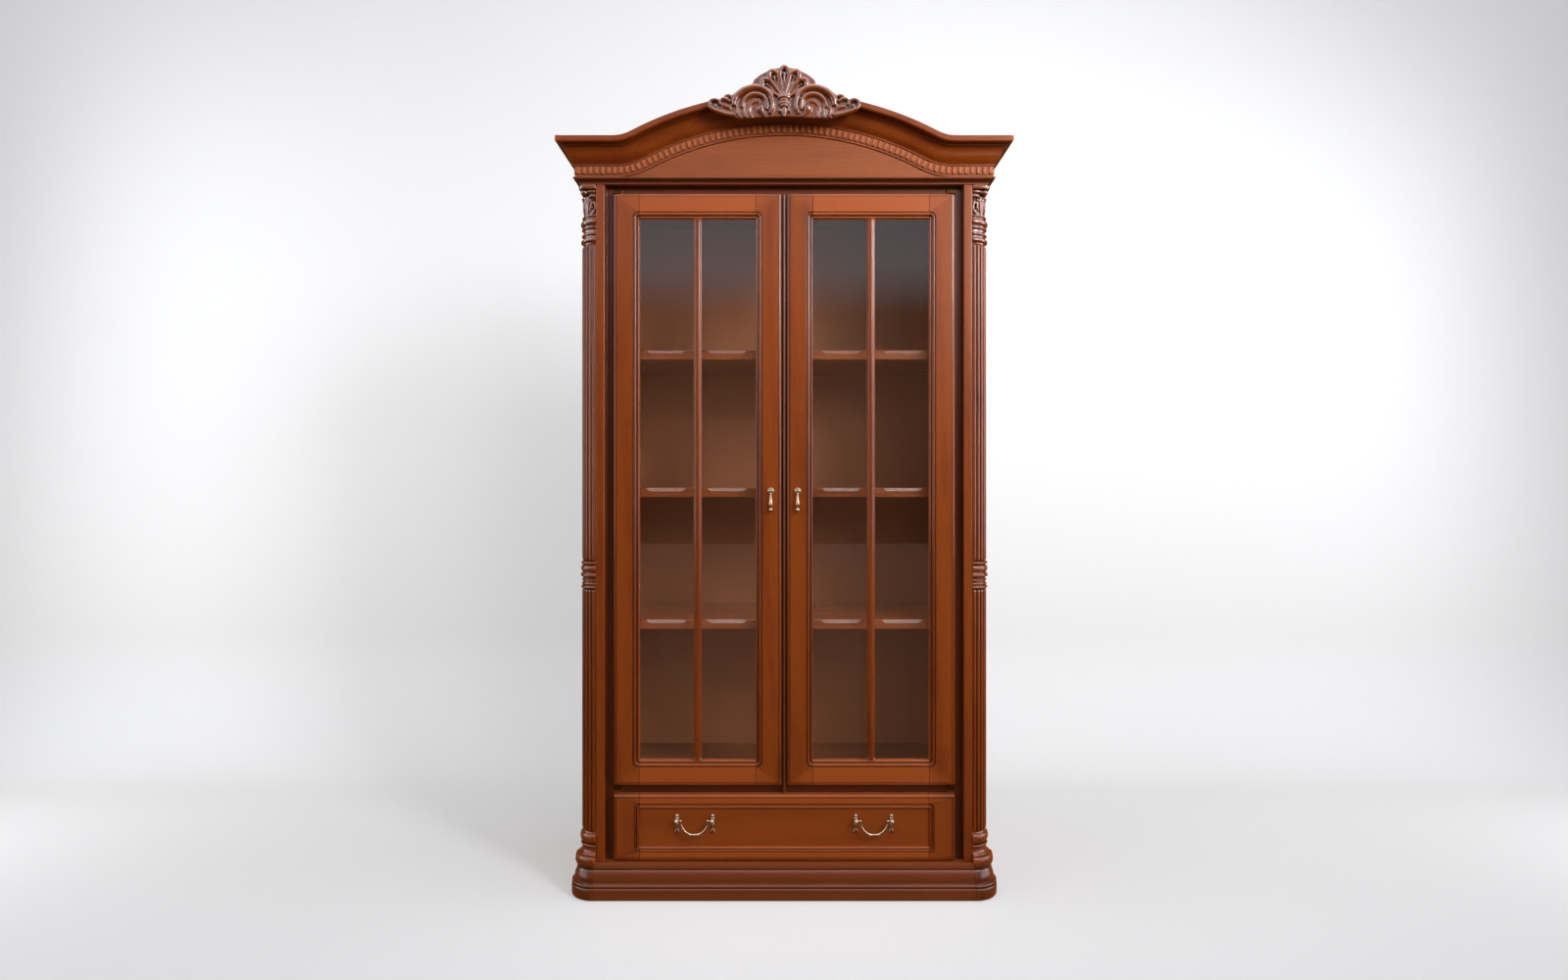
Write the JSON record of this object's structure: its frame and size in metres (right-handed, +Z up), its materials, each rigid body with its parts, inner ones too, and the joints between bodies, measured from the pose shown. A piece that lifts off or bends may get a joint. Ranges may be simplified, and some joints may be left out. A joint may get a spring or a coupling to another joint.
{
  "type": "china cabinet",
  "caption": "Tall wooden display cabinet with glazed doors over a wide drawer, reeded corner columns, moulded plinth and arched cornice with carved crest.",
  "frame": {"origin": "the middle of the overall footprint, on the floor", "axes": "+Z up, the glass doors face -Y, +X to the right of someone facing the doors"},
  "size_m": [1.21, 0.469, 2.2142],
  "materials": {
    "case_wood": "cherry-stained hardwood under glossy lacquer",
    "dark_wood": "the same lacquered wood, stain gathered in the recesses",
    "carved_wood": "carved hardwood, dark glaze in the hollows, glossy lacquer",
    "tympanum_wood": "flat veneered panel, satin lacquer",
    "interior_wood": "stained plywood and boards, satin",
    "drawer_wood": "plain pale hardwood, unlacquered",
    "float_glass": "clear float glass",
    "pull_metal": "aged, greyed brass",
    "pivot_brass": "dull brass"
  },
  "bodies": {
    "case": {"plinth_front": "case_wood", "plinth_corner_right": "case_wood", "plinth_corner_left": "case_wood", "plinth_side_right": "case_wood", "plinth_side_left": "case_wood", "corner_post_right": "case_wood", "corner_post_left": "case_wood", "bottom_board": "interior_wood", "display_floor": "interior_wood", "side_panel_right": "case_wood", "side_panel_left": "case_wood", "back_panel": "interior_wood", "shelf_lower": "case_wood", "shelf_middle": "case_wood", "shelf_upper": "case_wood", "lower_rail": "dark_wood", "top_rail": "dark_wood", "centre_stile": "dark_wood", "top_board": "dark_wood", "column_right": "case_wood", "column_left": "case_wood", "capital_right": "carved_wood", "capital_left": "carved_wood", "cornice_front": "case_wood", "cornice_return_right": "case_wood", "cornice_return_left": "case_wood", "dentil_frieze": "case_wood", "tympanum": "tympanum_wood", "crest": "carved_wood", "pivot_lower_right": "pivot_brass", "pivot_lower_left": "pivot_brass", "pivot_upper_right": "pivot_brass", "pivot_upper_left": "pivot_brass"},
    "door_right": {"door_right_hinge_stile": "case_wood", "door_right_meeting_stile": "case_wood", "door_right_bottom_rail": "case_wood", "door_right_top_rail": "case_wood", "door_right_glass": "float_glass", "door_right_glazing_bar": "case_wood", "door_right_pull_rosette": "pull_metal"},
    "door_left": {"door_left_hinge_stile": "case_wood", "door_left_meeting_stile": "case_wood", "door_left_bottom_rail": "case_wood", "door_left_top_rail": "case_wood", "door_left_glass": "float_glass", "door_left_glazing_bar": "case_wood", "door_left_pull_rosette": "pull_metal"},
    "right_drop": {"door_right_pull_drop": "pull_metal"},
    "left_drop": {"door_left_pull_drop": "pull_metal"},
    "drawer": {"drawer_front": "case_wood", "drawer_side_right": "drawer_wood", "drawer_side_left": "drawer_wood", "drawer_back": "drawer_wood", "drawer_bottom": "drawer_wood", "pull_left_post_a": "pull_metal", "pull_left_post_b": "pull_metal", "pull_right_post_a": "pull_metal", "pull_right_post_b": "pull_metal"},
    "left_bail": {"pull_left_bail": "pull_metal"},
    "right_bail": {"pull_right_bail": "pull_metal"}
  },
  "joints": [
    {"name": "right_door_swing", "type": "hinge", "parent": "case", "child": "door_right", "pos_m": [0.453, -0.1575, 0.3], "axis": [0, 0, 1], "range_deg": [0, 110]},
    {"name": "left_door_swing", "type": "hinge", "parent": "case", "child": "door_left", "pos_m": [-0.453, -0.1575, 0.3], "axis": [0, 0, -1], "range_deg": [0, 110]},
    {"name": "drawer_slide", "type": "slide", "parent": "case", "child": "drawer", "axis": [0, -1, 0], "range_m": [0, 0.28]},
    {"name": "right_drop_swing", "type": "hinge", "parent": "door_right", "child": "right_drop", "pos_m": [0.036, -0.1755, 1.095], "axis": [-1, 0, 0], "range_deg": [0, 70]},
    {"name": "left_drop_swing", "type": "hinge", "parent": "door_left", "child": "left_drop", "pos_m": [-0.036, -0.1755, 1.095], "axis": [-1, 0, 0], "range_deg": [0, 70]},
    {"name": "left_bail_swing", "type": "hinge", "parent": "drawer", "child": "left_bail", "pos_m": [-0.241, -0.1775, 0.21], "axis": [-1, 0, 0], "range_deg": [0, 90]},
    {"name": "right_bail_swing", "type": "hinge", "parent": "drawer", "child": "right_bail", "pos_m": [0.241, -0.1775, 0.21], "axis": [-1, 0, 0], "range_deg": [0, 90]}
  ]
}
